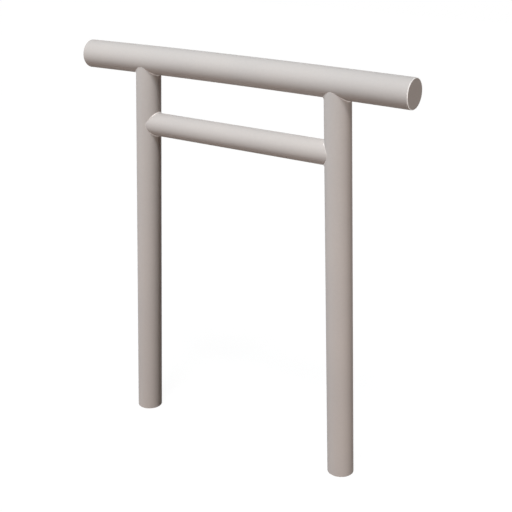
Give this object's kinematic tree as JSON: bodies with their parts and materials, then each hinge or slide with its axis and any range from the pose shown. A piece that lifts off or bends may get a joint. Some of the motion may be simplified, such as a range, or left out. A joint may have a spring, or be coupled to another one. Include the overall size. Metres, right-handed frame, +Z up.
{
  "type": "torii gate",
  "caption": "Painted steel shrine gate of round tube: tapered leaning posts carry a cambered top beam with overhanging capped ends, and a straight tie beam joins the posts.",
  "frame": {"origin": "centre of the left post's foot, on the ground face that the gate stands on", "axes": "+X along the gate from the left post to the right post as seen from the front, -Y towards the front, +Z up"},
  "size_m": [3.4652, 0.2614, 3.7555],
  "materials": {
    "warm_grey_paint": "satin",
    "weld_paint": "satin"
  },
  "bodies": {
    "root": {"left_post": "warm_grey_paint", "right_post": "warm_grey_paint", "top_beam": "warm_grey_paint", "tie_beam": "warm_grey_paint", "left_end_cap": "warm_grey_paint", "right_end_cap": "warm_grey_paint", "left_foot_cap": "warm_grey_paint", "right_foot_cap": "warm_grey_paint", "left_post_weld": "weld_paint", "right_post_weld": "weld_paint", "left_tie_weld": "weld_paint", "right_tie_weld": "weld_paint"}
  },
  "joints": []
}
